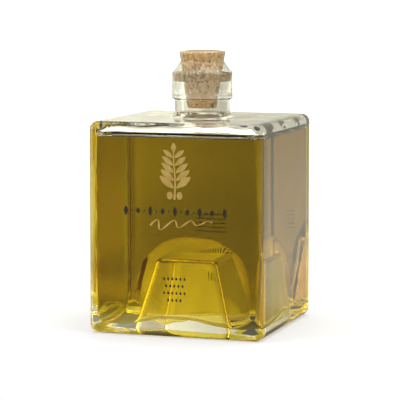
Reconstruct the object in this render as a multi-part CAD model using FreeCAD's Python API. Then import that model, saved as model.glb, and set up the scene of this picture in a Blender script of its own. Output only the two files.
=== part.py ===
"""Square bottle of olive oil with a cork and a clear film seal, in millimetres.

Four solids, all standing on z = 0 with the Z axis through the middle of the neck:
    bottle  thick clear glass, square in plan, with a hollow pyramid pushed up
            into its base and a round neck on top
    oil     the filling, from the floor of the glass up to the fill level
    cork    a tapered stopper, wedged in the flared mouth of the bore
    seal    a thin film over the rim of the cork and down the neck finish
"""

import os

import FreeCAD
import Part

# ---- glass body -----------------------------------------------------------
BODY_WIDTH = 89.0          # square in plan, outside
BODY_HEIGHT = 105.0        # to the flat shoulder
SIDE_WALL = 3.13           # glass in the four upright walls
SHOULDER_WALL = 3.2        # glass in the flat top
FLOOR_GLASS = 7.0          # glass under the lowest oil
UPRIGHT_EDGE_R = 3.6       # outside rounding of the upright edges
TOP_EDGE_R = 4.2           # outside rounding of the shoulder edges
BASE_EDGE_R = 4.4          # outside rounding of the base edges
INNER_UPRIGHT_R = 5.0      # rounding of the cavity's upright edges
INNER_TOP_R = 3.0          # rounding of the cavity's ceiling
INNER_FLOOR_R = 2.2        # rounding of the channel round the dome

# ---- hollow pyramid under the base, and the glass dome over it -----------
PUNT_HEIGHT = 36.0         # height of the pyramid's flat top
PUNT_TAPER = 10.0          # how much narrower each half is at the top
PUNT_EDGE_R = 3.0          # rounding of the pyramid's four slanting edges
PUNT_TOP_R = 2.0           # rounding round the pyramid's flat top
PUNT_MOUTH_R = 2.0         # rounding where the pyramid opens at the base
CHANNEL_WIDTH = 5.6        # oil between the foot of the dome and the wall
DOME_FOOT_GLASS = 10.4     # glass beside the pyramid at z = 0, measured level
DOME_SIDE_GLASS = 9.3      # the same higher up
DOME_TOP_GLASS = 10.2      # glass over the pyramid's flat top
DOME_EDGE_R = 13.5         # rounding of the dome's slanting edges
DOME_TOP_R = 13.0          # rounding round the dome's top

# ---- neck -----------------------------------------------------------------
BORE_R = 9.25              # straight bore below the flared mouth
NECK_WALL = 4.65           # glass beside the bore in the plain neck
NECK_FOOT_R = 2.6          # fillet from the neck to the shoulder
NECK_HEIGHT = 9.2          # shoulder to the underside of the bead
BEAD_PROUD = 1.2           # transfer bead under the lip, out from the neck
BEAD_HEIGHT = 2.8
WAIST_PROUD = 0.8          # slight waist between bead and lip, the same
WAIST_HEIGHT = 1.0
LIP_PROUD = 1.1            # lip, the same
LIP_HEIGHT = 10.4
LIP_EDGE_R = 1.5
BORE_FOOT_R = 2.0          # rounding where the bore meets the ceiling
MOUTH_DEPTH = 5.4          # how far down the cork touches the glass

# ---- cork -----------------------------------------------------------------
CORK_LENGTH = 28.2
CORK_PROUD = 9.6           # cork standing above the lip
CORK_SPREAD = 2.35         # wider at its top than the bore, in radius
CORK_EDGE_R = 0.5

# ---- oil ------------------------------------------------------------------
ULLAGE = 4.6               # air between the fill level and the ceiling

# ---- film seal ------------------------------------------------------------
FILM = 0.2                 # thickness
FILM_GAP = 0.05            # clearance to what it wraps
FILM_HOLE_R = 8.4          # open middle on top of the cork
FILM_LEAVES_CORK = 4.6     # height above the lip where it spans to the lip
FILM_BELOW_LIP = 3.6       # how far it reaches below the lip's lower edge

# ---- working allowances --------------------------------------------------
OVERRUN = 5.0              # how far a cutting shape runs past the face it opens
SAME = 0.01                # sizes this close count as equal

# ---- widths worked out from the sizes above ------------------------------
CAVITY_HALF = BODY_WIDTH / 2 - SIDE_WALL
DOME_FOOT_HALF = CAVITY_HALF - CHANNEL_WIDTH
PUNT_BASE_HALF = DOME_FOOT_HALF - DOME_FOOT_GLASS
PUNT_TOP_HALF = PUNT_BASE_HALF - PUNT_TAPER
NECK_R = BORE_R + NECK_WALL
BEAD_R = NECK_R + BEAD_PROUD
WAIST_R = NECK_R + WAIST_PROUD
LIP_R = NECK_R + LIP_PROUD
CORK_TOP_R = BORE_R + CORK_SPREAD

# ---- heights worked out from the sizes above -----------------------------
CEILING_Z = BODY_HEIGHT - SHOULDER_WALL
OIL_LEVEL = CEILING_Z - ULLAGE
BEAD_FOOT_Z = BODY_HEIGHT + NECK_HEIGHT
BEAD_TOP_Z = BEAD_FOOT_Z + BEAD_HEIGHT
LIP_FOOT_Z = BEAD_TOP_Z + WAIST_HEIGHT
LIP_TOP_Z = LIP_FOOT_Z + LIP_HEIGHT
MOUTH_FOOT_Z = LIP_TOP_Z - MOUTH_DEPTH
CORK_TOP_Z = LIP_TOP_Z + CORK_PROUD
CORK_FOOT_Z = CORK_TOP_Z - CORK_LENGTH
DOME_TOP_Z = PUNT_HEIGHT + DOME_TOP_GLASS

# the cork's taper makes it as wide as the bore at the foot of the mouth
CORK_SLOPE = CORK_SPREAD / (CORK_TOP_Z - MOUTH_FOOT_Z)

UP = FreeCAD.Vector(0, 0, 1)
CUBIC_MM_PER_CM3 = 1000


def cork_radius(z):
    """Radius of the tapered cork at height z."""
    return CORK_TOP_R - CORK_SLOPE * (CORK_TOP_Z - z)


def square_block(half, z_low, z_high):
    """Upright square block, centred on the Z axis."""
    corner = FreeCAD.Vector(-half, -half, z_low)
    return Part.makeBox(2 * half, 2 * half, z_high - z_low, corner)


def is_upright(edge):
    """True for an edge that runs from low to high rather than level."""
    box = edge.BoundBox
    return box.ZMax - box.ZMin > SAME


def level_edges(shape, z):
    """The edges that lie flat at height z."""
    found = []
    for edge in shape.Edges:
        box = edge.BoundBox
        if abs(box.ZMin - z) < SAME and abs(box.ZMax - z) < SAME:
            found.append(edge)
    return found


def rounded_block(half, z_low, z_high, upright_r, low_r, high_r):
    """Square block with rounded upright, lower and upper edges."""
    block = square_block(half, z_low, z_high)
    block = block.makeFillet(upright_r, [e for e in block.Edges if is_upright(e)])
    if low_r:
        block = block.makeFillet(low_r, level_edges(block, z_low))
    if high_r:
        block = block.makeFillet(high_r, level_edges(block, z_high))
    return block


def square_wire(half, z):
    """Closed square outline at height z."""
    corners = [(-half, -half), (half, -half), (half, half), (-half, half)]
    points = [FreeCAD.Vector(x, y, z) for x, y in corners]
    return Part.makePolygon(points + points[:1])


def pyramid(low_half, high_half, z_low, z_high, edge_r, top_r):
    """Square pyramid with its top cut flat and its upper edges rounded."""
    outlines = [square_wire(low_half, z_low), square_wire(high_half, z_high)]
    solid = Part.makeLoft(outlines, True, True)
    solid = solid.makeFillet(edge_r, [e for e in solid.Edges if is_upright(e)])
    return solid.makeFillet(top_r, level_edges(solid, z_high))


def punt_half(z):
    """Half width of the hollow pyramid, with its slope carried on to height z."""
    return PUNT_BASE_HALF - PUNT_TAPER * z / PUNT_HEIGHT


def turned(outline):
    """Solid of revolution about Z from a closed list of (radius, z) points."""
    points = [FreeCAD.Vector(r, 0, z) for r, z in outline]
    face = Part.Face(Part.makePolygon(points + points[:1]))
    return face.revolve(FreeCAD.Vector(0, 0, 0), UP, 360)


def punt():
    """The open pyramid under the base, run past z = 0 so that it cuts clean."""
    low_half = punt_half(-OVERRUN)
    return pyramid(low_half, PUNT_TOP_HALF, -OVERRUN, PUNT_HEIGHT, PUNT_EDGE_R, PUNT_TOP_R)


def dome():
    """Outline of the glass that stands over the pyramid, inside the oil."""
    high_half = punt_half(DOME_TOP_Z) + DOME_SIDE_GLASS
    edge_r = min(DOME_EDGE_R, high_half - SAME)
    top_r = min(DOME_TOP_R, high_half - SAME)
    return pyramid(DOME_FOOT_HALF, high_half, 0, DOME_TOP_Z, edge_r, top_r)


def cavity():
    """Everything inside the glass body, below the ceiling."""
    room = rounded_block(CAVITY_HALF, FLOOR_GLASS, CEILING_Z, INNER_UPRIGHT_R, 0, INNER_TOP_R)
    room = room.cut(dome()).removeSplitter()
    return room.makeFillet(INNER_FLOOR_R, level_edges(room, FLOOR_GLASS))


def bore():
    """The hole down the neck: straight, then flared to fit the cork."""
    low = CEILING_Z - OVERRUN
    high = LIP_TOP_Z + OVERRUN
    outline = [
        (0, low),
        (BORE_R, low),
        (BORE_R, MOUTH_FOOT_Z),
        (cork_radius(high), high),
        (0, high),
    ]
    return turned(outline)


def is_ring(edge, radius):
    """True for a level circle of this radius about the Z axis."""
    box = edge.BoundBox
    return abs(box.XMax - radius) < SAME and abs(box.YMax - radius) < SAME


def is_within(edge, half):
    """True for an edge inside the square of this half width."""
    return edge.BoundBox.XMax < half + SAME and edge.BoundBox.XMin > -half - SAME


def inside():
    """Cavity and bore as one empty space, with a rounded step between them."""
    space = cavity().fuse(bore()).removeSplitter()
    foot = [e for e in level_edges(space, CEILING_Z) if is_ring(e, BORE_R)]
    return space.makeFillet(BORE_FOOT_R, foot)


def neck():
    """The neck outside: plain shank, transfer bead, waist and lip."""
    buried = BODY_HEIGHT - SHOULDER_WALL / 2
    bead_ease = BEAD_PROUD / 2
    outline = [
        (0, buried),
        (NECK_R, buried),
        (NECK_R, BEAD_FOOT_Z - bead_ease),
        (BEAD_R, BEAD_FOOT_Z + bead_ease),
        (BEAD_R, BEAD_TOP_Z - bead_ease),
        (WAIST_R, BEAD_TOP_Z),
        (WAIST_R, LIP_FOOT_Z),
        (LIP_R, LIP_FOOT_Z + bead_ease),
        (LIP_R, LIP_TOP_Z),
        (0, LIP_TOP_Z),
    ]
    solid = turned(outline)
    rim = [e for e in level_edges(solid, LIP_TOP_Z) if is_ring(e, LIP_R)]
    return solid.makeFillet(LIP_EDGE_R, rim)


def bottle(space):
    """The glass, as one solid, around its empty inside."""
    half = BODY_WIDTH / 2
    body = rounded_block(half, 0, BODY_HEIGHT, UPRIGHT_EDGE_R, BASE_EDGE_R, TOP_EDGE_R)
    body = body.fuse(neck()).removeSplitter()
    foot = [e for e in level_edges(body, BODY_HEIGHT) if is_ring(e, NECK_R)]
    body = body.makeFillet(NECK_FOOT_R, foot)
    body = body.cut(punt())
    mouth = [e for e in level_edges(body, 0) if is_within(e, PUNT_BASE_HALF)]
    body = body.makeFillet(PUNT_MOUTH_R, mouth)
    return body.cut(space)


def oil(space):
    """The filling: the empty inside up to the fill level."""
    return space.common(square_block(BODY_WIDTH / 2, 0, OIL_LEVEL))


def cork():
    """Tapered stopper with its rims eased."""
    low_r = cork_radius(CORK_FOOT_Z)
    solid = Part.makeCone(low_r, CORK_TOP_R, CORK_LENGTH, FreeCAD.Vector(0, 0, CORK_FOOT_Z))
    rims = level_edges(solid, CORK_FOOT_Z) + level_edges(solid, CORK_TOP_Z)
    return solid.makeFillet(CORK_EDGE_R, rims)


def film_line(off):
    """The film's run from the cork's top to below the bead, this far off the surface."""
    waist_z = LIP_TOP_Z + FILM_LEAVES_CORK
    lip_cut = LIP_EDGE_R / 2
    return [
        (FILM_HOLE_R, CORK_TOP_Z + off),
        (CORK_TOP_R + off, CORK_TOP_Z + off),
        (cork_radius(waist_z) + off, waist_z + off),
        (LIP_R - lip_cut + off, LIP_TOP_Z + off),
        (LIP_R + off, LIP_TOP_Z - lip_cut + off),
        (LIP_R + off, LIP_FOOT_Z),
        (BEAD_R + off, BEAD_TOP_Z),
        (BEAD_R + off, LIP_FOOT_Z - FILM_BELOW_LIP),
    ]


def seal():
    """Film from the cork's rim down over the lip and bead, as one thin shell."""
    within = film_line(FILM_GAP)
    outside = film_line(FILM_GAP + FILM)
    return turned(within + outside[::-1])


def only_solid(shape, name):
    """The single solid of a shape, checked to be whole."""
    solids = shape.Solids
    if len(solids) != 1:
        raise ValueError(f"{name} has {len(solids)} solids")
    if not solids[0].isValid():
        raise ValueError(f"{name} is not a valid solid")
    return solids[0]


def main():
    """Build the four solids, write them and print their volumes."""
    os.makedirs("parts", exist_ok=True)
    space = inside()
    pieces = {
        "bottle": bottle(space),
        "oil": oil(space),
        "cork": cork(),
        "seal": seal(),
    }
    for name, shape in pieces.items():
        solid = only_solid(shape, name)
        solid.exportStep(f"parts/{name}.step")
        print(f"{name}: {solid.Volume / CUBIC_MM_PER_CM3:.1f} cm3, top at {solid.BoundBox.ZMax:.1f} mm")


main()
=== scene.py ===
"""Looks of a square bottle of olive oil: thick glass, filling, cork, film seal and print."""

from __future__ import annotations

import logging
import math
from collections.abc import Callable, Iterable, Sequence
from dataclasses import dataclass, field, replace
from enum import Enum

import bmesh
import bpy
from mathutils import Matrix, Vector, noise

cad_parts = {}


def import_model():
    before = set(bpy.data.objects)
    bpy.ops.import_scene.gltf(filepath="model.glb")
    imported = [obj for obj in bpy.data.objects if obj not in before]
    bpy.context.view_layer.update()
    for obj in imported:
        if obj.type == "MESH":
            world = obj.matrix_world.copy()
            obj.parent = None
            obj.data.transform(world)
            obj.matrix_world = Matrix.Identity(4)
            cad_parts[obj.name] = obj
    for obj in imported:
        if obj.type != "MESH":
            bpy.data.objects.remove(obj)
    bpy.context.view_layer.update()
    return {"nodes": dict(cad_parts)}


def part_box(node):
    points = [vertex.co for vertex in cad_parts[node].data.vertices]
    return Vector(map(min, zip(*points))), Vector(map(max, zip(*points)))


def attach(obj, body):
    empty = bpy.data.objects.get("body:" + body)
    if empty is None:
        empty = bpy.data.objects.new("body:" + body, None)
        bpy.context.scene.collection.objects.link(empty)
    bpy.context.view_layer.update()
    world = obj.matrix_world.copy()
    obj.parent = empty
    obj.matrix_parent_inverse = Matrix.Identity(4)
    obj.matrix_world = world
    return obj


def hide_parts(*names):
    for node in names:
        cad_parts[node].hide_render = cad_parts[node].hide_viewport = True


LOG = logging.getLogger("olive_oil_bottle")
MM = 0.001
BODY = "root"
QUARTER = math.pi / 2
WARM_WHITE = (1.0, 0.985, 0.8)


# ---------------------------------------------------------------- outlines


class Wet(Enum):
    """Which of the two finishes of the glass a band of it wears."""

    DRY = 0
    WETTED = 1


@dataclass(frozen=True)
class Ring:
    """One level outline: a rounded square, or a circle where corner equals half.

    half is the half width, corner the rounding of its corners and z its height.
    rise lifts the middles of the four sides and drops the corners. drift is how
    far the outline wanders off its true line, sideways and upwards.
    """

    half: float
    corner: float
    z: float
    rise: float = 0.0
    drift: tuple[float, float] = (0.0, 0.0)
    finish: Wet = Wet.DRY

    def reach(self, angle: float) -> float:
        """Distance from the axis to the outline.

        Args:
            angle: direction from the axis, in radians.

        Returns:
            The distance in metres.
        """
        off_middle = abs((angle + QUARTER / 2) % QUARTER - QUARTER / 2)
        core = self.half - self.corner
        if self.half * math.tan(off_middle) <= core:
            return self.half / math.cos(off_middle)
        along = core * (math.cos(off_middle) + math.sin(off_middle))
        across = core * (math.cos(off_middle) - math.sin(off_middle))
        return along + math.sqrt(max(self.corner**2 - across**2, 0.0))

    def point(self, angle: float) -> Vector:
        """Point of the outline, with its rise and its drift.

        Args:
            angle: direction from the axis, in radians.

        Returns:
            The point in metres.
        """
        far = self.reach(angle)
        lift = self.rise * math.cos(4 * angle)
        place = Vector((far * math.cos(angle), far * math.sin(angle), self.z + lift))
        if self.drift == (0.0, 0.0):
            return place
        sideways, upwards = self.drift
        wander = noise.noise_vector(place / DRIFT_LENGTH + DRIFT_SEED)
        return place + Vector((wander.x * sideways, wander.y * sideways, wander.z * upwards))


DRIFT_LENGTH = 17 * MM
DRIFT_SEED = Vector((3.7, 1.9, 8.2))


def circle(radius: float, z: float, **more: object) -> Ring:
    """Round ring of this radius at height z."""
    return Ring(radius, radius, z, **more)


def spread(start: float, end: float, steps: int) -> list[float]:
    """Even values from start to end, both counted, in this many steps."""
    return [start + (end - start) * k / steps for k in range(steps + 1)]


def between(low: Ring, high: Ring, steps: int) -> list[Ring]:
    """Rings that change evenly from one ring to another.

    Args:
        low: the ring that they start from, which isn't repeated.
        high: the ring that they end with.
        steps: how many rings to make.

    Returns:
        The rings in order, with the finish of the last.
    """
    rings = []
    for k in range(1, steps + 1):
        t = k / steps
        rings.append(
            replace(
                high,
                half=low.half + (high.half - low.half) * t,
                corner=low.corner + (high.corner - low.corner) * t,
                z=low.z + (high.z - low.z) * t,
                rise=low.rise + (high.rise - low.rise) * t,
            )
        )
    return rings


def rounding(core: Ring, radius: float, start: float, end: float, steps: int) -> list[Ring]:
    """Rings round an edge.

    Args:
        core: outline through the centres of the rounding.
        radius: radius of the rounding.
        start: angle that it starts at, where 0 is outwards and 90 is up.
        end: angle that it ends at.
        steps: how many bands it has.

    Returns:
        The rings in order, from start to end.
    """
    rings = []
    for degrees in spread(start, end, steps):
        out = radius * math.cos(math.radians(degrees))
        up = radius * math.sin(math.radians(degrees))
        corner = max(core.corner + out, 0.2 * MM)
        rings.append(replace(core, half=core.half + out, corner=corner, z=core.z + up))
    return rings


@dataclass(frozen=True)
class Hill:
    """Square pyramid with a rounded top, as the outside of the punt or the dome over it."""

    foot_half: float
    taper: float
    top_z: float
    edge_r: float
    top_r: float
    roundest: float = 0.85

    @property
    def tilt(self) -> float:
        """Lean of the sides from upright, in radians."""
        return math.atan(self.taper)

    def side(self, z: float) -> float:
        """Half width of the flat sides at height z."""
        return self.foot_half - self.taper * z

    def corner(self, half: float) -> float:
        """Rounding of the slanting edges where the hill is this wide."""
        return min(self.edge_r, self.roundest * half)

    def rings(self, low_z: float, steps: int) -> list[Ring]:
        """Rings from the middle of the top, over its rounding and down the sides.

        Args:
            low_z: height that the sides run down to.
            steps: how many bands each flat side has.

        Returns:
            The rings in order, the first very small, to be closed as a pole.
        """
        centre_z = self.top_z - self.top_r
        inset = self.top_r + centre_z * math.sin(self.tilt)
        centre = (self.foot_half * math.cos(self.tilt) - inset) / math.cos(self.tilt)
        profile = [(centre * share, self.top_z) for share in (0.02, 0.25, 0.5, 0.75)]
        for degrees in spread(90, math.degrees(self.tilt), 10):
            turn = math.radians(degrees)
            out = centre + self.top_r * math.cos(turn)
            profile.append((out, centre_z + self.top_r * math.sin(turn)))
        for z in spread(profile[-1][1], low_z, steps)[1:]:
            profile.append((self.side(z), z))
        return [Ring(half, self.corner(half), z) for half, z in profile]


# ---------------------------------------------------------------- mesh making


@dataclass
class Loft:
    """Closed skin drawn through rings, by extruding each ring into the next."""

    angles: list[float]
    bm: bmesh.types.BMesh = field(default_factory=bmesh.new)
    first: list[bmesh.types.BMVert] = field(default_factory=list)
    last: list[bmesh.types.BMVert] = field(default_factory=list)

    def place(self, verts: list[bmesh.types.BMVert], ring: Ring) -> None:
        """Moves one loop of vertices onto a ring."""
        for vert, angle in zip(verts, self.angles, strict=True):
            vert.co = ring.point(angle)

    def start(self, ring: Ring) -> None:
        """Makes the first loop."""
        made = bmesh.ops.create_circle(self.bm, segments=len(self.angles), radius=1.0)
        self.first = self.last = made["verts"]
        self.place(self.last, ring)

    def add(self, ring: Ring) -> None:
        """Extrudes the last loop onto the next ring, in that ring's finish."""
        count = len(self.last)
        edges = [
            self.bm.edges.get((self.last[k], self.last[(k + 1) % count])) for k in range(count)
        ]
        made = bmesh.ops.extrude_edge_only(self.bm, edges=edges)["geom"]
        fresh = {g for g in made if isinstance(g, bmesh.types.BMVert)}
        following = []
        for vert in self.last:
            rung = next(e for e in vert.link_edges if e.other_vert(vert) in fresh)
            following.append(rung.other_vert(vert))
            for face in rung.link_faces:
                face.material_index = ring.finish.value
        self.last = following
        self.place(self.last, ring)

    def run(self, rings: Sequence[Ring]) -> None:
        """Draws the skin through all the rings."""
        self.start(rings[0])
        for ring in rings[1:]:
            self.add(ring)

    def close_poles(self) -> None:
        """Draws the first and the last loop together into one point each."""
        for loop in (self.first, self.last):
            middle = sum((v.co for v in loop), Vector()) / len(loop)
            bmesh.ops.pointmerge(self.bm, verts=loop, merge_co=middle)

    def close_round(self) -> None:
        """Joins the last loop back to the first, as on a tube bent round the axis."""
        edges = []
        for loop in (self.first, self.last):
            for k, vert in enumerate(loop):
                edges.append(self.bm.edges.get((vert, loop[(k + 1) % len(loop)])))
        bmesh.ops.bridge_loops(self.bm, edges=edges)


def finish_mesh(bm: bmesh.types.BMesh, name: str, smooth: bool = True) -> bpy.types.Object:
    """Turns a closed bmesh into an object, faces outwards.

    Args:
        bm: the bmesh, which is freed.
        name: name of the piece.
        smooth: whether its faces are shaded smooth.

    Returns:
        The new object, at the origin, linked to the scene.
    """
    bmesh.ops.recalc_face_normals(bm, faces=bm.faces)
    for face in bm.faces:
        face.smooth = smooth
    mesh = bpy.data.meshes.new(name)
    bm.to_mesh(mesh)
    bm.free()
    piece = bpy.data.objects.new(name, mesh)
    bpy.context.scene.collection.objects.link(piece)
    return piece


def weigh_normals(piece: bpy.types.Object) -> None:
    """Keeps large flat faces flat where they meet small round ones."""
    weigh = piece.modifiers.new("weigh", "WEIGHTED_NORMAL")
    weigh.mode = "FACE_AREA"
    weigh.keep_sharp = True


def dress(piece: bpy.types.Object, *materials: bpy.types.Material) -> None:
    """Gives a piece its materials, one for each finish in order."""
    for material in materials:
        piece.data.materials.append(material)


def square_angles() -> list[float]:
    """Directions of a ring's vertices, close together round the four corners."""
    flat_steps, corner_steps, corner_from = 9, 14, math.radians(38)
    quarter = spread(0, corner_from, flat_steps)[:-1]
    quarter += spread(corner_from, QUARTER - corner_from, corner_steps)[:-1]
    quarter += spread(QUARTER - corner_from, QUARTER, flat_steps)[:-1]
    return [side * QUARTER + angle for side in range(4) for angle in quarter]


def round_angles(count: int) -> list[float]:
    """Directions of a round ring's vertices, evenly spaced."""
    return [2 * math.pi * k / count for k in range(count)]


# ---------------------------------------------------------------- finishes


class Wiring:
    """A node tree being wired up, with short calls for its nodes and links."""

    def __init__(self, tree: bpy.types.NodeTree) -> None:
        """Starts on a tree and empties it."""
        self.tree = tree
        tree.nodes.clear()

    def node(self, kind: str, settings: dict | None = None, **inputs: object) -> bpy.types.Node:
        """Adds a node.

        Args:
            kind: the node's type.
            settings: its properties.
            inputs: values or output sockets for its inputs, with _ for a space.

        Returns:
            The new node.
        """
        made = self.tree.nodes.new(kind)
        for key, value in (settings or {}).items():
            setattr(made, key, value)
        for key, value in inputs.items():
            index = int(key[1:]) if key[0] == "i" and key[1:].isdigit() else key.replace("_", " ")
            self.put(made.inputs[index], value)
        return made

    def put(self, socket: bpy.types.NodeSocket, value: object) -> None:
        """Sets a socket, or links it where the value is another node's output."""
        if isinstance(value, bpy.types.NodeSocket):
            self.tree.links.new(value, socket)
        else:
            socket.default_value = value

    def math(self, operation: str, first: object, second: object = 0.0, third: object = 0.0) -> bpy.types.NodeSocket:
        """Output of a Math node."""
        made = self.node("ShaderNodeMath", {"operation": operation}, i0=first, i1=second, i2=third)
        return made.outputs[0]

    def mix(self, share: object, first: object, second: object) -> bpy.types.NodeSocket:
        """Output of a colour mix."""
        made = self.node("ShaderNodeMix", {"data_type": "RGBA"})
        self.put(made.inputs[0], share)
        self.put(made.inputs[6], first)
        self.put(made.inputs[7], second)
        return made.outputs[2]

    def ramp(self, value: object, low: float, high: float) -> bpy.types.NodeSocket:
        """Value stretched so that low becomes 0 and high becomes 1, smoothly."""
        made = self.node(
            "ShaderNodeMapRange",
            {"interpolation_type": "SMOOTHSTEP"},
            Value=value,
            From_Min=low,
            From_Max=high,
        )
        return made.outputs[0]


def rgba(red: float, green: float, blue: float) -> tuple[float, float, float, float]:
    """Opaque linear colour."""
    return (red, green, blue, 1.0)


def unevenness_group() -> bpy.types.NodeTree:
    """Shared effect: the slow ripple and fine orange peel of a moulded surface.

    Returns:
        A group with the inputs Ripple Size, Fine Size and Fine Share, all but the
        last in metres, and the output Height.
    """
    tree = bpy.data.node_groups.new("moulded unevenness", "ShaderNodeTree")
    for name, value in (("Ripple Size", 0.02), ("Fine Size", 0.002), ("Fine Share", 0.2)):
        made = tree.interface.new_socket(name, in_out="INPUT", socket_type="NodeSocketFloat")
        made.default_value = value
    tree.interface.new_socket("Height", in_out="OUTPUT", socket_type="NodeSocketFloat")
    wire = Wiring(tree)
    given = wire.node("NodeGroupInput")
    place = wire.node("ShaderNodeTexCoord").outputs["Object"]
    slow = wire.node(
        "ShaderNodeTexNoise",
        Vector=place,
        Scale=wire.math("DIVIDE", 1.0, given.outputs[0]),
        Detail=2.0,
        Roughness=0.4,
        Distortion=0.6,
    )
    fine = wire.node(
        "ShaderNodeTexNoise",
        Vector=place,
        Scale=wire.math("DIVIDE", 1.0, given.outputs[1]),
        Detail=2.0,
    )
    weighed = wire.math("MULTIPLY", fine.outputs[0], given.outputs[2])
    total = wire.math("ADD", slow.outputs[0], weighed)
    wire.node("NodeGroupOutput", Height=total)
    return tree


@dataclass(frozen=True)
class Finish:
    """Base of all finishes: a named material made from nodes."""

    name: str

    def begin(self) -> tuple[Wiring, bpy.types.Material]:
        """New material and its wiring."""
        material = bpy.data.materials.new(self.name)
        material.use_nodes = True
        return Wiring(material.node_tree), material

    @staticmethod
    def end(wire: Wiring, shader: bpy.types.NodeSocket, volume: bpy.types.NodeSocket | None = None) -> None:
        """Joins a shader, and a volume if there is one, to the material's output."""
        out = wire.node("ShaderNodeOutputMaterial", Surface=shader)
        if volume is not None:
            wire.put(out.inputs["Volume"], volume)

    @staticmethod
    def ripple(wire: Wiring, sizes: tuple[float, float, float], depth: float) -> bpy.types.NodeSocket:
        """Normal from the shared unevenness.

        Args:
            wire: the material's wiring.
            sizes: ripple size, fine size and the share of the fine part.
            depth: how deep it is, in metres.

        Returns:
            The Normal output of a Bump node.
        """
        group = wire.node("ShaderNodeGroup", {"node_tree": bpy.data.node_groups["moulded unevenness"]})
        for socket, value in zip(group.inputs, sizes, strict=True):
            socket.default_value = value
        bump = wire.node("ShaderNodeBump", Height=group.outputs[0], Distance=depth, Strength=1.0)
        return bump.outputs[0]


@dataclass(frozen=True)
class Glass(Finish):
    """Clear solid that bends light, with a moulded surface."""

    ior: float = 1.5
    tint: tuple[float, float, float] = (1.0, 1.0, 1.0)
    roughness: float = 0.0
    sizes: tuple[float, float, float] = (0.02, 0.002, 0.0)
    depth: float = 0.0
    absorbs: tuple[float, float, float] | None = None

    def material(self) -> bpy.types.Material:
        """The finished material."""
        wire, material = self.begin()
        shader = wire.node(
            "ShaderNodeBsdfPrincipled",
            Base_Color=rgba(*self.tint),
            Metallic=0.0,
            Roughness=self.roughness,
            IOR=self.ior,
            Transmission_Weight=1.0,
        )
        if self.depth:
            wire.put(shader.inputs["Normal"], self.ripple(wire, self.sizes, self.depth))
        volume = None
        if self.absorbs:
            most = max(self.absorbs)
            colour = rgba(*[1 - one / most for one in self.absorbs])
            volume = wire.node("ShaderNodeVolumeAbsorption", Color=colour, Density=most).outputs[0]
        self.end(wire, shader.outputs[0], volume)
        return material


@dataclass(frozen=True)
class Enamel(Finish):
    """Fired print on the glass: a thin, slightly uneven coat."""

    colour: tuple[float, float, float] = (0.5, 0.5, 0.5)
    shade: tuple[float, float, float] = (0.4, 0.4, 0.4)
    metallic: float = 0.0
    roughness: float = 0.4

    def material(self) -> bpy.types.Material:
        """The finished material."""
        wire, material = self.begin()
        place = wire.node("ShaderNodeTexCoord").outputs["Object"]
        cloud = wire.node("ShaderNodeTexNoise", Vector=place, Scale=420.0, Detail=3.0).outputs[0]
        share = wire.ramp(cloud, 0.35, 0.7)
        rough = wire.math("MULTIPLY_ADD", cloud, 0.2, self.roughness - 0.1)
        shader = wire.node(
            "ShaderNodeBsdfPrincipled",
            Base_Color=wire.mix(share, rgba(*self.colour), rgba(*self.shade)),
            Metallic=self.metallic,
            Roughness=rough,
            Normal=self.ripple(wire, (0.003, 0.0004, 0.5), 0.00002),
        )
        self.end(wire, shader.outputs[0])
        return material


@dataclass(frozen=True)
class Agglomerate(Finish):
    """Pressed cork granules: tan grains of many shades, dark bark specks and open joints."""

    grain: float = 1.1 * MM
    pale: tuple[float, float, float] = (0.78, 0.52, 0.24)
    tan: tuple[float, float, float] = (0.55, 0.30, 0.09)
    bark: tuple[float, float, float] = (0.15, 0.075, 0.03)

    def material(self) -> bpy.types.Material:
        """The finished material."""
        wire, material = self.begin()
        place = wire.node("ShaderNodeTexCoord").outputs["Object"]
        wobble = wire.node("ShaderNodeTexNoise", Vector=place, Scale=0.6 / self.grain, Detail=2.0)
        bent = wire.node(
            "ShaderNodeVectorMath",
            {"operation": "MULTIPLY_ADD"},
            i0=wobble.outputs[1],
            i1=(0.6 * self.grain,) * 3,
            i2=place,
        ).outputs[0]
        cells = wire.node("ShaderNodeTexVoronoi", Vector=bent, Scale=1 / self.grain)
        edges = wire.node(
            "ShaderNodeTexVoronoi", {"feature": "DISTANCE_TO_EDGE"}, Vector=bent, Scale=1 / self.grain
        )
        shade = wire.node("ShaderNodeSeparateColor", i0=cells.outputs["Color"])
        fibre = wire.node("ShaderNodeTexNoise", Vector=bent, Scale=5 / self.grain, Detail=4.0, Roughness=0.7)
        mottled = wire.math("MULTIPLY_ADD", fibre.outputs[0], 0.9, wire.math("MULTIPLY_ADD", shade.outputs[0], 0.6, -0.3))
        base = wire.mix(wire.ramp(mottled, 0.15, 0.75), rgba(*self.tan), rgba(*self.pale))
        is_bark = wire.ramp(shade.outputs[1], 0.86, 0.9)
        grains = wire.mix(wire.math("MULTIPLY", is_bark, 0.75), base, rgba(*self.bark))
        joint = wire.ramp(edges.outputs["Distance"], 0.07, 0.0)
        pores = wire.node("ShaderNodeTexNoise", Vector=place, Scale=1.7 / self.grain, Detail=5.0, Roughness=0.75)
        pit = wire.ramp(pores.outputs[0], 0.63, 0.72)
        dark = wire.math("MAXIMUM", wire.math("MULTIPLY", joint, 0.35), wire.math("MULTIPLY", pit, 0.6))
        height = wire.math("SUBTRACT", wire.math("MULTIPLY", fibre.outputs[0], 0.4), wire.math("MAXIMUM", joint, pit))
        shader = wire.node(
            "ShaderNodeBsdfPrincipled",
            Base_Color=wire.mix(dark, grains, rgba(*self.bark)),
            Roughness=wire.math("MULTIPLY_ADD", fibre.outputs[0], 0.15, 0.78),
            Specular_IOR_Level=0.25,
            Normal=wire.node("ShaderNodeBump", Height=height, Distance=0.00022, Strength=0.8).outputs[0],
        )
        self.end(wire, shader.outputs[0])
        return material


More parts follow.
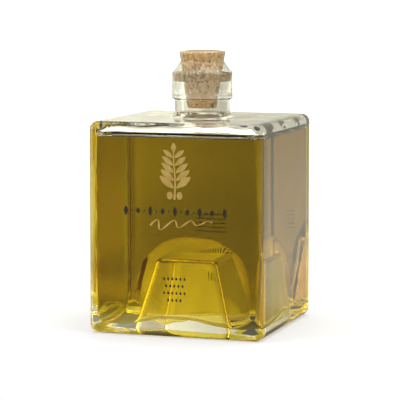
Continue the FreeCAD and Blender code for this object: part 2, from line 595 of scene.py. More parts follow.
@dataclass(frozen=True)
class Sweep(Finish):
    """Pale studio floor, white to the eye with its shadow. Seen in and through glass it carries painted light and
    shade: it glows less to the right, its wall and the floor low on its right glow brighter, and a painted shadow of
    the bottle lies behind and under it.
    """

    colour: float = 0.8
    near_veil: float = 0.36
    far_veil: float = 1.0
    far_from: float = 0.25
    far_to: float = 0.9
    # Glow of the floor in and through glass at its left and at its right: a painted fall of light across it.
    bright: float = 0.36
    dim: float = 0.0
    azimuth: float = math.radians(18.35)
    bright_at: float = -0.1
    dim_at: float = 0.08
    # Depth of the painted shadow of the bottle on the floor behind it, seen only in and through glass.
    shade: float = 0.34
    # Painted light: extra glow of the wall, seen through glass and more strongly in reflections, and a painted
    # highlight low on the floor to the right, seen in reflections only.
    painted_wall_glow: float = 0.13
    painted_wall_reflection: float = 0.3
    painted_side_highlight: float = 0.2
    # Depth of the painted shadow under the bottle, seen only in and through glass.
    under: float = 0.3

    def material(self) -> bpy.types.Material:
        """The finished material."""
        wire, material = self.begin()
        path = wire.node("ShaderNodeLightPath").outputs
        place = wire.node("ShaderNodeTexCoord").outputs["Object"]
        far = wire.node("ShaderNodeVectorMath", {"operation": "LENGTH"}, i0=place).outputs["Value"]
        to_eye = wire.math("MULTIPLY_ADD", wire.ramp(far, self.far_from, self.far_to), self.far_veil - self.near_veil, self.near_veil)
        across = (math.cos(self.azimuth), math.sin(self.azimuth), 0.0)
        aside = wire.node("ShaderNodeVectorMath", {"operation": "DOT_PRODUCT"}, i0=place, i1=across).outputs["Value"]
        # Painted fall of light: in and through glass the floor glows less to the right.
        dimming = wire.ramp(aside, self.bright_at, self.dim_at)
        # Painted shadow of the bottle on the floor behind it, darkening the floor only as seen in and through glass.
        band = wire.math("MULTIPLY", wire.ramp(far, 0.13, 0.2), wire.ramp(far, 1.0, 0.4))
        beside = wire.math("MULTIPLY", wire.ramp(aside, -0.075, -0.01), wire.ramp(aside, 0.16, 0.09))
        behind = wire.math("MULTIPLY", band, beside)
        # Painted shadow under the bottle, also only in and through glass.
        under = wire.math("MULTIPLY", wire.ramp(far, 0.12, 0.07), self.under)
        painted_lit_share = wire.math("SUBTRACT", wire.math("MULTIPLY_ADD", behind, -self.shade, 1.0), under)
        # Painted light on the wall in and through glass, and a painted highlight low on the floor to the right, in
        # reflections.
        height = wire.node("ShaderNodeSeparateXYZ", i0=place).outputs[2]
        mirrored = wire.math("GREATER_THAN", path["Is Glossy Ray"], path["Is Transmission Ray"])
        glow = wire.math("MULTIPLY_ADD", mirrored, self.painted_wall_reflection - self.painted_wall_glow, self.painted_wall_glow)
        side = wire.math("MULTIPLY", wire.ramp(aside, 0.03, 0.15), mirrored)
        side = wire.math("MULTIPLY", side, wire.math("MULTIPLY", wire.ramp(height, 0.15, 0.02), self.painted_side_highlight))
        wall = wire.math("MULTIPLY_ADD", wire.ramp(height, 0.02, 0.15), glow, side)
        dimmed = wire.math("MULTIPLY_ADD", dimming, self.dim - self.bright, self.bright)
        to_glass = wire.math("MULTIPLY_ADD", dimmed, painted_lit_share, wall)
        in_glass = wire.math("MAXIMUM", path["Is Glossy Ray"], path["Is Transmission Ray"])
        strength = wire.math(
            "ADD",
            wire.math("MULTIPLY", path["Is Camera Ray"], to_eye),
            wire.math("MULTIPLY", in_glass, to_glass),
        )
        warm = wire.mix(in_glass, rgba(1, 1, 1), rgba(*WARM_WHITE))
        # In and through glass the floor's colour is darkened by the painted shadow too.
        shaded = wire.mix(painted_lit_share, rgba(0, 0, 0), rgba(*[self.colour * one for one in WARM_WHITE]))
        base = wire.mix(in_glass, rgba(*[self.colour] * 3), shaded)
        diffuse = wire.node("ShaderNodeBsdfDiffuse", Color=base)
        glow = wire.node("ShaderNodeEmission", Color=warm, Strength=strength)
        both = wire.node("ShaderNodeAddShader", i0=diffuse.outputs[0], i1=glow.outputs[0])
        self.end(wire, both.outputs[0])
        return material


# ---------------------------------------------------------------- sub-assemblies


@dataclass(frozen=True)
class Places:
    """Heights and widths that the frame gives."""

    half: float
    body_top: float
    lip_top: float
    level: float
    cork_low: float
    cork_top: float
    cork_r: float

    @staticmethod
    def read(shoulder: float) -> Places:
        """Takes the places from the CAD nodes' boxes.

        Args:
            shoulder: how far the oil's level lies under the body's flat top.

        Returns:
            The places in metres.
        """
        glass_low, glass_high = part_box("bottle")
        oil_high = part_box("oil")[1]
        cork_low, cork_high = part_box("cork")
        return Places(
            half=glass_high[0],
            body_top=oil_high[2] + shoulder,
            lip_top=glass_high[2],
            level=oil_high[2],
            cork_low=cork_low[2],
            cork_top=cork_high[2],
            cork_r=cork_high[0],
        )


@dataclass
class Bottle:
    """The glass: square body, hollow pyramid in its base, and round neck."""

    at: Places
    side_wall: float = 3.13 * MM
    shoulder_wall: float = 3.2 * MM
    floor_z: float = 7.0 * MM
    upright_r: float = 3.6 * MM
    top_r: float = 4.2 * MM
    base_r: float = 4.4 * MM
    inner_upright_r: float = 5.0 * MM
    inner_top_r: float = 4.2 * MM
    bore_r: float = 9.25 * MM
    bore_foot_r: float = 2.0 * MM
    neck_r: float = 13.9 * MM
    neck_foot_r: float = 3.2 * MM
    bead_proud: float = 1.2 * MM
    waist_proud: float = 0.8 * MM
    lip_proud: float = 1.1 * MM
    lip_edge_r: float = 1.5 * MM
    mouth_depth: float = 5.4 * MM
    bead_z: float = 115.6 * MM
    lip_foot_z: float = 118.0 * MM
    climb: float = 2.8 * MM
    punt: Hill = Hill(25.5 * MM, 10 / 36, 36 * MM, 3.0 * MM, 3.0 * MM)
    dome: Hill = Hill(34.4 * MM, 0.3, 45.8 * MM, 15 * MM, 20 * MM, 0.9)
    channel_rise: float = 2.0 * MM
    wall_drift: float = 0.5 * MM
    top_drift: float = 1.2 * MM

    @property
    def ceiling(self) -> float:
        """Height of the underside of the shoulder."""
        return self.at.body_top - self.shoulder_wall

    @property
    def inner_half(self) -> float:
        """Half width of the inside."""
        return self.at.half - self.side_wall

    @property
    def mouth_foot(self) -> float:
        """Height at which the cork stops touching the glass."""
        return self.at.lip_top - self.mouth_depth

    def mouth_r(self, z: float) -> float:
        """Radius of the flared mouth, which is the cork's own taper."""
        slope = (self.at.cork_r - self.bore_r) / (self.at.cork_top - self.mouth_foot)
        return self.bore_r + slope * (z - self.mouth_foot)

    def outside(self) -> list[Ring]:
        """Rings from the top of the punt, under the base, up the walls and the neck."""
        punt = self.punt.rings(2 * MM, 8)
        tilt = self.punt.tilt
        mouth_r = 2.0 * MM
        centre = self.punt.foot_half + (mouth_r - mouth_r * math.sin(tilt)) / math.cos(tilt)
        core = Ring(centre, self.punt.edge_r + mouth_r, mouth_r)
        mouth = rounding(core, mouth_r, 180 + math.degrees(tilt), 270, 5)
        base_core = Ring(self.at.half - self.base_r, self.upright_r - self.base_r, self.base_r)
        base = rounding(base_core, self.base_r, 270, 360, 9)
        top_z = self.at.body_top - self.top_r
        walls = between(base[-1], replace(base[-1], z=top_z), 9)
        top_core = Ring(self.at.half - self.top_r, self.upright_r - self.top_r, top_z)
        top = rounding(top_core, self.top_r, 0, 90, 8)
        foot_core = circle(self.neck_r + self.neck_foot_r, self.at.body_top + self.neck_foot_r)
        foot = rounding(foot_core, self.neck_foot_r, 270, 180, 7)
        shoulder = between(top[-1], replace(foot[0], drift=(0.0, 0.25 * MM)), 7)
        return [
            *punt[:-1],
            *mouth,
            *between(mouth[-1], base[0], 3),
            *base[1:],
            *walls,
            *top[1:],
            *shoulder[:-1],
            *foot,
            *self.neck_outside(foot[-1].z),
        ]

    def neck_outside(self, low: float) -> list[Ring]:
        """Rings up the neck, over bead, waist and lip, to the lip's inner edge."""
        rings = []
        for z in spread(low, self.at.lip_top - self.lip_edge_r, 60)[1:]:
            rings.append(circle(self.neck_r + self.swell(z), z))
        lip_r = rings[-1].half
        edge_core = circle(lip_r - self.lip_edge_r, self.at.lip_top - self.lip_edge_r)
        rings += rounding(edge_core, self.lip_edge_r, 0, 90, 8)[1:]
        inner = self.mouth_r(self.at.lip_top)
        ease = 0.5 * MM
        inner_core = circle(inner + ease, self.at.lip_top - ease)
        rings += between(rings[-1], circle(inner + ease, self.at.lip_top), 3)
        rings += rounding(inner_core, ease, 90, 180, 4)[1:]
        return rings

    def swell(self, z: float) -> float:
        """How far the neck stands out from its plain part at height z."""
        bead = math.exp(-(((z - self.bead_z) / (1.35 * MM)) ** 4))
        past = min(max((z - self.lip_foot_z + 1.4 * MM) / (2.2 * MM), 0.0), 1.0)
        lip = past * past * (3 - 2 * past)
        waist = min(max((z - self.bead_z) / (1.0 * MM), 0.0), 1.0) * self.waist_proud
        return max(self.bead_proud * bead, waist, self.lip_proud * lip)

    def bore(self) -> list[Ring]:
        """Rings down the mouth and the bore, and round its foot to the ceiling."""
        rings = between(circle(self.mouth_r(self.at.lip_top), self.at.lip_top), circle(self.bore_r, self.mouth_foot), 6)[1:]
        foot_z = self.ceiling + self.bore_foot_r
        drift = (0.25 * MM, 0.0)
        rings += between(rings[-1], circle(self.bore_r, foot_z, drift=drift), 10)
        foot_core = circle(self.bore_r + self.bore_foot_r, foot_z, drift=(0.3 * MM, 0.3 * MM))
        rings += rounding(foot_core, self.bore_foot_r, 180, 270, 6)[1:]
        return rings

    @property
    def eaves(self) -> Ring:
        """Outline through the centres of the rounding between ceiling and wall."""
        return Ring(
            self.inner_half - self.inner_top_r,
            self.inner_upright_r - self.inner_top_r,
            self.ceiling - self.inner_top_r,
            drift=(self.wall_drift, self.top_drift),
        )

    def ceiling_rings(self) -> list[Ring]:
        """Rings out along the ceiling, round its edge and down to where the oil climbs."""
        core = self.eaves
        start = circle(self.bore_r + self.bore_foot_r, self.ceiling, drift=core.drift)
        edge = rounding(core, self.inner_top_r, 90, 0, 8)
        edge[-1] = replace(edge[-1], drift=(self.wall_drift, 0.0))
        return [*between(start, edge[0], 9), *edge[1:]]

    def wetted(self) -> list[Ring]:
        """Rings that the oil touches: down the walls, round the channel and over the dome."""
        still = (self.wall_drift, 0.0)
        high = replace(self.eaves, half=self.inner_half, corner=self.inner_upright_r, drift=still)
        high = replace(high, z=self.at.level + self.climb)
        level = replace(high, z=self.at.level)
        foot_z = self.floor_z + 3.0 * MM
        walls = [high, level, *between(level, replace(level, z=foot_z), 24)]
        walls = [replace(r, rise=self.channel_rise * math.exp(-(r.z - foot_z) / (9 * MM))) for r in walls]
        channel = self.channel(walls[-1])
        hill = self.dome.rings(self.floor_z + 3.0 * MM, 9)[::-1]
        lowest = hill[0].z
        loose = (0.8 * MM, 0.8 * MM)
        hill = [
            replace(r, rise=self.channel_rise * math.exp(-(r.z - lowest) / (7 * MM)), drift=loose) for r in hill
        ]
        return [replace(r, finish=Wet.WETTED) for r in (*walls, *channel, *hill)]

    def channel(self, start: Ring) -> list[Ring]:
        """Rings round the bottom of the channel between the wall and the dome."""
        inner = self.dome.side(start.z)
        middle, width = (start.half + inner) / 2, (start.half - inner) / 2
        depth = start.z - self.floor_z
        rings = []
        for degrees in spread(0, 180, 10)[1:-1]:
            turn = math.radians(degrees)
            half = middle + width * math.cos(turn)
            share = (1 - math.cos(turn)) / 2
            corner = start.corner + (self.dome.edge_r - start.corner) * share
            z = start.z - depth * math.sin(turn)
            rings.append(Ring(half, corner, z, self.channel_rise, (0.6 * MM, 0.9 * MM)))
        return rings

    def build(self) -> bpy.types.Object:
        """Makes the glass as one closed piece."""
        loft = Loft(square_angles())
        wetted = self.wetted()
        wetted[0] = replace(wetted[0], finish=Wet.DRY)
        loft.run([*self.outside(), *self.bore(), *self.ceiling_rings(), *wetted])
        loft.close_poles()
        piece = finish_mesh(loft.bm, "bottle_glass")
        weigh_normals(piece)
        return piece


@dataclass
class Filling:
    """The oil, and the skin at its top where it meets the air."""

    glass: Bottle
    into_wall: float = 0.12 * MM
    skin: float = 0.3 * MM
    climb_length: float = 1.3 * MM

    def build_oil(self) -> bpy.types.Object:
        """Makes the oil, reaching just into the glass all round."""
        rings = self.glass.wetted()[1:]
        top = replace(rings[0], finish=Wet.DRY)
        inwards = between(circle(0.3 * MM, top.z), top, 6)
        loft = Loft(square_angles())
        loft.run([circle(0.3 * MM, top.z), *inwards, *[replace(r, finish=Wet.DRY) for r in rings[1:]]])
        loft.close_poles()
        bm = loft.bm
        bmesh.ops.recalc_face_normals(bm, faces=bm.faces)
        bm.normal_update()
        level = self.glass.at.level
        for vert in bm.verts:
            vert.co += vert.normal * self.into_wall
            vert.co.z = min(vert.co.z, level - self.skin / 2)
        return finish_mesh(bm, "olive_oil")

    def build_skin(self) -> bpy.types.Object:
        """Makes the oil's open surface, which climbs a little where it meets the glass."""
        edge = self.glass.wetted()[1]
        wall = replace(edge, half=edge.half + self.into_wall, corner=edge.corner + self.into_wall)
        level = self.glass.at.level
        shares = (0.004, 0.15, 0.3, 0.45, 0.6, 0.7, 0.8, 0.87, 0.91, 0.935, 0.955, 0.97, 0.98, 0.987, 0.993, 0.997, 1.0)
        under = [replace(self.shrunk(wall, s), z=level - self.skin, finish=Wet.WETTED) for s in shares]
        over = []
        for share in shares[::-1]:
            gap = wall.half * (1 - share)
            climb = self.glass.climb * math.exp(-gap / self.climb_length)
            over.append(replace(self.shrunk(wall, share), z=level + climb, finish=Wet.DRY))
        over[0] = replace(over[0], finish=Wet.WETTED)
        loft = Loft(square_angles())
        loft.run([*under, *over])
        loft.close_poles()
        return finish_mesh(loft.bm, "oil_surface")

    @staticmethod
    def shrunk(ring: Ring, share: float) -> Ring:
        """The same outline drawn smaller, and rounder towards the middle."""
        half = ring.half * share
        corner = min(half, ring.corner + (ring.half - half) * 0.6)
        return replace(ring, half=half, corner=corner)


@dataclass
class Stopper:
    """The cork: a tapered plug of pressed granules, chipped along its rims."""

    glass: Bottle
    grip: float = 0.06 * MM
    grain: float = 1.1 * MM
    pit_depth: float = 0.22 * MM
    edge: float = 0.5 * MM

    def radius(self, z: float) -> float:
        """Radius of the plug at height z, pressed a hair into the glass at the mouth."""
        true = self.glass.mouth_r(z)
        return true + self.grip if self.glass.mouth_foot <= z <= self.glass.at.lip_top else true

    def pits(self, place: Vector) -> float:
        """Depth of the worn joints between the granules at a place."""
        near = noise.voronoi(place / self.grain, distance_metric="DISTANCE", exponent=2.5)[0]
        joint = max(0.0, 1 - (near[1] - near[0]) / 0.16)
        crumb = max(0.0, noise.noise(place / (1.3 * MM)) - 0.25) * 1.6
        return min(joint * 0.55 + crumb, 1.0) * self.pit_depth

    def build(self) -> bpy.types.Object:
        """Makes the cork as one closed piece."""
        at = self.glass.at
        side = spread(at.cork_low + self.edge, at.cork_top - self.edge, 74)
        low_r, top_r = self.radius(at.cork_low), self.radius(at.cork_top)
        rings = [circle(low_r * s, at.cork_low) for s in (0.01, 0.3, 0.55, 0.75, 0.88, 1 - self.edge / low_r)]
        rings += [circle(self.radius(z), z) for z in side]
        tops = (1 - self.edge / top_r, 0.93, 0.89, 0.84, 0.78, 0.71, 0.64, 0.56, 0.48, 0.4, 0.3, 0.2, 0.1, 0.01)
        rings += [circle(top_r * s, at.cork_top) for s in tops]
        loft = Loft(round_angles(168))
        loft.run(rings)
        loft.close_poles()
        bm = loft.bm
        bmesh.ops.recalc_face_normals(bm, faces=bm.faces)
        bm.normal_update()
        for vert in bm.verts:
            depth = self.pits(vert.co)
            held = self.glass.mouth_foot < vert.co.z < at.lip_top
            vert.co -= vert.normal * (depth * (0.35 if held else 1.0))
        return finish_mesh(bm, "cork_stopper")


@dataclass
class FilmSeal:
    """Clear shrink film over the cork's rim, spanning to the lip and down the neck."""

    glass: Bottle
    thickness: float = 0.1 * MM
    gap: float = 0.06 * MM
    hole_r: float = 8.4 * MM
    leaves_cork: float = 4.6 * MM
    below_lip: float = 3.6 * MM
    wrinkle: float = 0.35 * MM

    def profile(self) -> list[tuple[float, float, float]]:
        """Radius, height and looseness along the film, from its hole to its hem."""
        at, glass = self.glass.at, self.glass
        lip_r = glass.neck_r + glass.lip_proud
        waist_z = at.lip_top + self.leaves_cork
        cut = glass.lip_edge_r / 2
        corners = [
            (self.hole_r, at.cork_top, 0.0),
            (at.cork_r - 0.5 * MM, at.cork_top, 0.0),
            (at.cork_r, at.cork_top - 0.5 * MM, 0.0),
            (glass.mouth_r(waist_z), waist_z, 0.3),
            (lip_r - cut - 0.35 * MM, at.lip_top + 0.1 * MM, 0.6),
            (lip_r, at.lip_top - cut, 0.1),
            (lip_r, glass.lip_foot_z + 1.0 * MM, 0.1),
            (glass.neck_r + glass.bead_proud, glass.bead_z, 0.1),
            (glass.neck_r + glass.bead_proud, glass.lip_foot_z - self.below_lip, 0.5),
        ]
        run = [corners[0]]
        for start, end in zip(corners, corners[1:], strict=False):
            length = math.hypot(end[0] - start[0], end[1] - start[1])
            steps = max(2, round(length / (0.8 * MM)))
            for k in range(1, steps + 1):
                t = k / steps
                run.append(tuple(a + (b - a) * t for a, b in zip(start, end, strict=True)))
        return run

    def build(self) -> bpy.types.Object:
        """Makes the film as one closed thin shell, wrinkled where it spans free."""
        run = self.profile()
        loft = Loft(round_angles(180))
        inner = [circle(r + self.gap, z + self.gap) for r, z, _ in run]
        outer = [circle(r + self.gap + self.thickness, z + self.gap + self.thickness) for r, z, _ in run]
        loft.run([*inner, *outer[::-1]])
        loft.close_round()
        bm = loft.bm
        looseness = {round(z + self.gap, 6): loose for _, z, loose in run}
        for vert in bm.verts:
            z = vert.co.z if round(vert.co.z, 6) in looseness else vert.co.z - self.thickness
            loose = looseness.get(round(z, 6), 0.0)
            if loose:
                turn = math.atan2(vert.co.y, vert.co.x)
                fold = abs(noise.noise(Vector((math.cos(turn) * 5, math.sin(turn) * 5, z / (4 * MM)))))
                vert.co.xy *= 1 + (fold * loose * self.wrinkle) / vert.co.xy.length
        return finish_mesh(bm, "film_seal")


# ---------------------------------------------------------------- print


@dataclass
class Print:
    """Enamel ornaments on the front and back faces, as thin raised coats."""

    glass: Bottle
    proud: float = 0.05 * MM
    sunk: float = 0.03 * MM

    def lay(self, bm: bmesh.types.BMesh, name: str, back: bool = False) -> bpy.types.Object:
        """Gives flat shapes their thickness and stands them on a face.

        Args:
            bm: flat faces drawn in X and Y, where Y is height on the bottle.
            name: name of the piece.
            back: whether it goes on the back face.

        Returns:
            The piece.
        """
        bmesh.ops.remove_doubles(bm, verts=bm.verts, dist=1e-6)
        made = bmesh.ops.extrude_face_region(bm, geom=bm.faces[:])["geom"]
        lifted = [g for g in made if isinstance(g, bmesh.types.BMVert)]
        bmesh.ops.translate(bm, verts=lifted, vec=(0, 0, self.proud + self.sunk))
        bmesh.ops.translate(bm, verts=bm.verts, vec=(0, 0, self.glass.at.half - self.sunk))
        upright = Matrix.Rotation(QUARTER, 4, "X")
        turn = Matrix.Rotation(math.pi, 4, "Z") if back else Matrix.Identity(4)
        bmesh.ops.transform(bm, matrix=turn @ upright, verts=bm.verts)
        return finish_mesh(bm, name, smooth=False)

    @staticmethod
    def spot(bm: bmesh.types.BMesh, centre: tuple[float, float], size: tuple[float, float], **more: float) -> None:
        """Adds one flat spot.

        Args:
            bm: where it goes.
            centre: its middle.
            size: its half width and half height.
            more: sides, how many sides it has; turn, in degrees; point, from 0,
                an ellipse, to 1, a leaf with two sharp ends.
        """
        sides, turn, point = int(more.get("sides", 24)), more.get("turn", 0.0), more.get("point", 0.0)
        made = bmesh.ops.create_circle(bm, cap_ends=True, segments=sides, radius=1.0)["verts"]
        for vert in made:
            x, y = vert.co.x, vert.co.y
            slim = (1 - abs(y)) ** 0.5 if point else 1.0
            vert.co.x = x * size[0] * (1 + (slim - 1) * point)
            vert.co.y = y * size[1]
        spin = Matrix.Rotation(math.radians(turn), 4, "Z")
        bmesh.ops.transform(bm, matrix=spin, verts=made)
        bmesh.ops.translate(bm, verts=made, vec=(centre[0], centre[1], 0))

    @staticmethod
    def stroke(bm: bmesh.types.BMesh, path: Callable[[float], Vector], width: Callable[[float], float], steps: int) -> None:
        """Adds a flat brush stroke by pulling a short edge along a path.

        Args:
            bm: where it goes.
            path: point of its middle line at a share from 0 to 1.
            width: its width at that share.
            steps: how many pieces it has.
        """

        def ends(share: float) -> tuple[Vector, Vector]:
            step = 0.5 / steps
            ahead = path(min(share + step, 1.0)) - path(max(share - step, 0.0))
            side = Vector((-ahead.y, ahead.x)).normalized() * width(share) / 2
            return path(share) + side, path(share) - side

        first, second = ends(0.0)
        edge = bm.edges.new((bm.verts.new((*first, 0)), bm.verts.new((*second, 0))))
        for share in spread(0, 1, steps)[1:]:
            old = list(edge.verts)
            made = bmesh.ops.extrude_edge_only(bm, edges=[edge])["geom"]
            edge = next(g for g in made if isinstance(g, bmesh.types.BMEdge))
            for vert in edge.verts:
                leads = next(e.other_vert(vert) for e in vert.link_edges if e is not edge)
                vert.co.xy = ends(share)[old.index(leads)]

    def sprig(self) -> bpy.types.Object:
        """Gold olive sprig, upright, with paired leaves and fruit."""
        bm = bmesh.new()
        low, high, middle = 68.0 * MM, 94.7 * MM, 0.5 * MM
        length = high - low

        def stem(share: float) -> Vector:
            return Vector((middle + 0.4 * MM * math.sin(share * 5), low + length * 0.86 * share))

        self.stroke(bm, stem, lambda s: (1.1 - 0.6 * s) * MM, 24)
        for k in range(5):
            share = 0.24 + 0.16 * k
            root = stem(share)
            big = (1 - 0.08 * k) * MM
            for side in (-1, 1):
                off = Vector((side * 4.3 * big, 2.9 * big))
                self.spot(bm, tuple(root + off), (1.75 * big, 4.6 * big), turn=-side * 52, point=0.6)
        tip = stem(1.0)
        self.spot(bm, (tip.x, tip.y + 2.3 * MM), (1.3 * MM, 2.4 * MM), point=0.6)
        for side in (-1, 1):
            root = stem(0.07)
            self.spot(bm, (root.x + side * 2.5 * MM, root.y + 0.3 * MM), (1.5 * MM, 1.9 * MM))
        return self.lay(bm, "print_sprig")

    def divider(self) -> bpy.types.Object:
        """Dark row of pointed ovals with dots between, right across under the sprig."""
        bm = bmesh.new()
        count, left, right, height = 9, -24.5 * MM, 26.0 * MM, 62.0 * MM
        pitch = (right - left) / (count - 1)
        for k in range(count):
            x = left + pitch * k
            tall = (2.3 if k % 2 == 0 else 1.5) * MM
            self.spot(bm, (x, height), (1.05 * MM, tall), point=0.5)
            if k < count - 1:
                self.spot(bm, (x + pitch / 2, height), (0.42 * MM, 0.42 * MM), sides=12)
        return self.lay(bm, "print_divider")

    def swash(self) -> bpy.types.Object:
        """Gold flourish under the row: a running wave that thins out to the right."""
        bm = bmesh.new()
        left, right, height = -12.0 * MM, 19.6 * MM, 55.0 * MM

        def line(share: float) -> Vector:
            turn = share * 7 * math.pi
            swing = (2.9 - 2.3 * share) * MM * math.sin(turn)
            return Vector((left + (right - left) * share + swing * 0.55, height + swing + 2.4 * MM * share))

        def broad(share: float) -> float:
            return (0.4 + 0.35 * math.cos(share * 14 * math.pi)) * MM * (1 - 0.45 * share) + 0.22 * MM

        self.stroke(bm, line, broad, 160)
        return self.lay(bm, "print_swash")

    def rows(self) -> bpy.types.Object:
        """Four short rows of small dark squares, low on the front."""
        bm = bmesh.new()
        middle, top, pitch, step = 0.4 * MM, 29.2 * MM, 3.5 * MM, 2.1 * MM
        for row, count in enumerate((6, 5, 6, 4)):
            for k in range(count):
                x = middle + (k - (count - 1) / 2) * step
                self.spot(bm, (x, top - pitch * row), (0.55 * MM, 0.8 * MM), sides=6)
        return self.lay(bm, "print_rows")

    def back_lines(self) -> bpy.types.Object:
        """Close lines of dark dashes in a block on the back."""
        bm = bmesh.new()
        lines, top, pitch, half = 5, 54.0 * MM, 2.2 * MM, 8.0 * MM
        for row in range(lines):
            x = -half
            height = top - pitch * row
            k = 0
            while x < half:
                length = (1.2 + 1.3 * abs(math.sin(row * 2.3 + k * 1.7))) * MM
                end = min(x + length, half)
                spot = ((x + end) / 2, height)
                self.bar(bm, spot, ((end - x) / 2, 0.22 * MM))
                x = end + 0.5 * MM
                k += 1
        for k in range(11):
            self.bar(bm, ((k - 5) * 1.1 * MM, 30.0 * MM), (0.16 * MM, 2.2 * MM))
        return self.lay(bm, "print_back", back=True)

    @staticmethod
    def bar(bm: bmesh.types.BMesh, centre: tuple[float, float], size: tuple[float, float]) -> None:
        """Adds one flat bar of this half width and half height."""
        made = bmesh.ops.create_grid(bm, x_segments=1, y_segments=1, size=1.0)["verts"]
        bmesh.ops.scale(bm, vec=(size[0], size[1], 1), verts=made)
        bmesh.ops.translate(bm, verts=made, vec=(centre[0], centre[1], 0))


# ---------------------------------------------------------------- studio


@dataclass
class Studio:
    """Floor swept up behind, soft lamps, world and camera."""

    glass: Bottle
    width: float = 6.0
    front: float = 0.11
    slant: float = math.radians(18.35)
    bend_from: float = 1.5
    bend_r: float = 0.6
    wall_top: float = 3.0
    below: float = 0.26
    ambient: float = 0.5

    def floor(self) -> bpy.types.Object:
        """One sheet that runs along the floor and up behind."""
        bm = bmesh.new()
        half = self.width / 2
        points = []
        for x in (-half, half):
            y = -(self.front + math.sin(self.slant) * x) / math.cos(self.slant)
            points.append(Vector((x, y, 0)))
        edge = bm.edges.new([bm.verts.new(p) for p in points])
        stops = [(self.bend_from, 0.0)]
        for degrees in spread(0, 90, 12)[1:]:
            turn = math.radians(degrees)
            stops.append((self.bend_from + self.bend_r * math.sin(turn), self.bend_r * (1 - math.cos(turn))))
        stops.append((self.bend_from + self.bend_r, self.wall_top))
        for y, z in stops:
            made = bmesh.ops.extrude_edge_only(bm, edges=[edge])["geom"]
            edge = next(g for g in made if isinstance(g, bmesh.types.BMEdge))
            for vert in edge.verts:
                vert.co.y, vert.co.z = y, z
        return finish_mesh(bm, "studio_floor")

    def world(self) -> None:
        """Even pale light, white to the eye and through glass, dark below in reflections."""
        world = bpy.data.worlds.new("studio")
        bpy.context.scene.world = world
        world.use_nodes = True
        wire = Wiring(world.node_tree)
        path = wire.node("ShaderNodeLightPath").outputs
        direction = wire.node("ShaderNodeTexCoord").outputs["Generated"]
        height = wire.node("ShaderNodeSeparateXYZ", i0=direction).outputs[2]
        above = wire.ramp(height, -0.06, 0.02)
        mirrored = wire.math("MULTIPLY_ADD", above, 0.9 - self.below, self.below)
        level = wire.math("MULTIPLY", path["Is Glossy Ray"], mirrored)
        for kind, strength in (("Is Camera Ray", 1.0), ("Is Transmission Ray", 0.95), ("Is Diffuse Ray", self.ambient)):
            level = wire.math("MULTIPLY_ADD", path[kind], strength, level)
        in_glass = wire.math("MAXIMUM", path["Is Glossy Ray"], path["Is Transmission Ray"])
        warm = wire.mix(in_glass, rgba(1, 1, 1), rgba(*WARM_WHITE))
        back = wire.node("ShaderNodeBackground", Color=warm, Strength=level)
        wire.node("ShaderNodeOutputWorld", Surface=back.outputs[0])

    def lamp(self, name: str, place: tuple[float, float, float], size: tuple[float, float], power: float) -> None:
        """Adds a soft rectangular lamp aimed at the bottle."""
        data = bpy.data.lights.new(name, "AREA")
        data.shape = "RECTANGLE"
        data.size, data.size_y = size
        data.energy = power
        lamp = bpy.data.objects.new(name, data)
        bpy.context.scene.collection.objects.link(lamp)
        lamp.location = place
        aim = Vector((0, 0, self.glass.at.body_top / 2)) - lamp.location
        lamp.rotation_mode = "QUATERNION"
        lamp.rotation_quaternion = aim.to_track_quat("-Z", "Y")

    def lamps(self) -> None:
        """A broad lamp overhead and a strip at each side."""
        self.lamp("overhead", (0.1, 0.15, 1.25), (1.1, 1.1), 7.0)
        self.lamp("left_strip", (-0.85, -0.75, 0.55), (0.3, 0.8), 3.0)
        self.lamp("right_strip", (0.95, -0.35, 0.5), (0.25, 0.7), 1.5)
        self.lamp("front_window", (0.12, -1.1, 0.62), (0.16, 0.22), 0.9)

    def camera(self) -> None:
        """Camera a little above the bottle and to its right."""
        azimuth, pitch = math.radians(18.35), math.radians(6.49)
        distance, aside, aim_z = 1.0147, -1.15 * MM, 63.0 * MM
        data = bpy.data.cameras.new("camera")
        data.sensor_width = 36.0
        data.lens = 181.0
        data.clip_start, data.clip_end = 0.05, 30.0
        camera = bpy.data.objects.new("camera", data)
        bpy.context.scene.collection.objects.link(camera)
        level = math.cos(pitch)
        back = Vector((math.sin(azimuth) * level, -math.cos(azimuth) * level, math.sin(pitch)))
        right = Vector((math.cos(azimuth), math.sin(azimuth), 0))
        camera.location = right * aside + Vector((0, 0, aim_z)) + back * distance
        camera.rotation_mode = "QUATERNION"
        camera.rotation_quaternion = (-back).to_track_quat("-Z", "Y")
        bpy.context.scene.camera = camera

    def settings(self) -> None:
        """Plain view and enough bounces for light that crosses many glass walls."""
        scene = bpy.context.scene
        scene.view_settings.view_transform = "Standard"
        scene.cycles.max_bounces = 40
        scene.cycles.transmission_bounces = 40
        scene.cycles.glossy_bounces = 16
        scene.cycles.transparent_max_bounces = 16


# ---------------------------------------------------------------- assembly


def seat(piece: bpy.types.Object, slot: str, node: str | None = None) -> None:
    """Makes a piece ride on the bottle's body.

    Args:
        piece: the piece.
        slot: the record's material slot for its finish, which is only logged here.
        node: the CAD node that it stands for, if any.
    """
    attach(piece, BODY)
    if node:
        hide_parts(node)
    faces = len(piece.data.polygons)
    LOG.info("%s: %d faces, finish %s", piece.name, faces, slot)


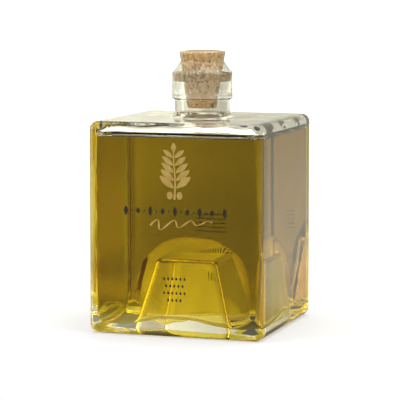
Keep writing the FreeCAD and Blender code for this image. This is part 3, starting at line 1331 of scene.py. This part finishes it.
def main() -> None:
    """Builds the bottle, its contents, closure and print, then the studio."""
    logging.basicConfig(level=logging.INFO, format="%(name)s: %(message)s")
    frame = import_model()
    LOG.info("frame has the nodes %s", sorted(frame["nodes"]))
    unevenness_group()

    flint = Glass("flint_glass", ior=1.52, tint=(1.0, 0.99, 0.955), sizes=(0.028, 0.004, 0.1), depth=0.00012).material()
    wetted = Glass("wetted_glass", ior=1.034).material()
    oil_look = Glass("olive_oil", ior=1.0, tint=(1.0, 0.88, 0.3), absorbs=(15.8, 19.6, 95.0)).material()
    oil_top = Glass("oil_top", ior=1.47).material()
    oil_under = Glass("oil_under", ior=1.0).material()
    film = Glass("clear_film", ior=1.5, roughness=0.03, sizes=(0.003, 0.0008, 0.3), depth=0.00015).material()
    cork_look = Agglomerate("agglomerated_cork").material()
    gold = Enamel("gold_enamel", (0.66, 0.45, 0.13), (0.54, 0.355, 0.09), metallic=0.35, roughness=0.42).material()
    dark = Enamel("dark_enamel", (0.016, 0.015, 0.008), (0.024, 0.022, 0.012), roughness=0.4).material()

    bottle = Bottle(Places.read(shoulder=7.8 * MM))
    filling = Filling(bottle)
    prints = Print(bottle)

    glass = bottle.build()
    dress(glass, flint, wetted)
    seat(glass, "clear_glass", "bottle")
    oil = filling.build_oil()
    dress(oil, oil_look)
    seat(oil, "olive_oil", "oil")
    skin = filling.build_skin()
    dress(skin, oil_top, oil_under)
    seat(skin, "olive_oil")
    cork = Stopper(bottle).build()
    dress(cork, cork_look)
    seat(cork, "agglomerated_cork", "cork")
    seal = FilmSeal(bottle).build()
    dress(seal, film)
    seat(seal, "clear_film", "seal")
    for piece in (prints.sprig(), prints.swash()):
        dress(piece, gold)
        seat(piece, "gold_print")
    for piece in (prints.divider(), prints.rows(), prints.back_lines()):
        dress(piece, dark)
        seat(piece, "dark_print")

    studio = Studio(bottle)
    floor = studio.floor()
    dress(floor, Sweep("studio_floor").material())
    studio.world()
    studio.lamps()
    studio.camera()
    studio.settings()


if __name__ == "__main__":
    main()
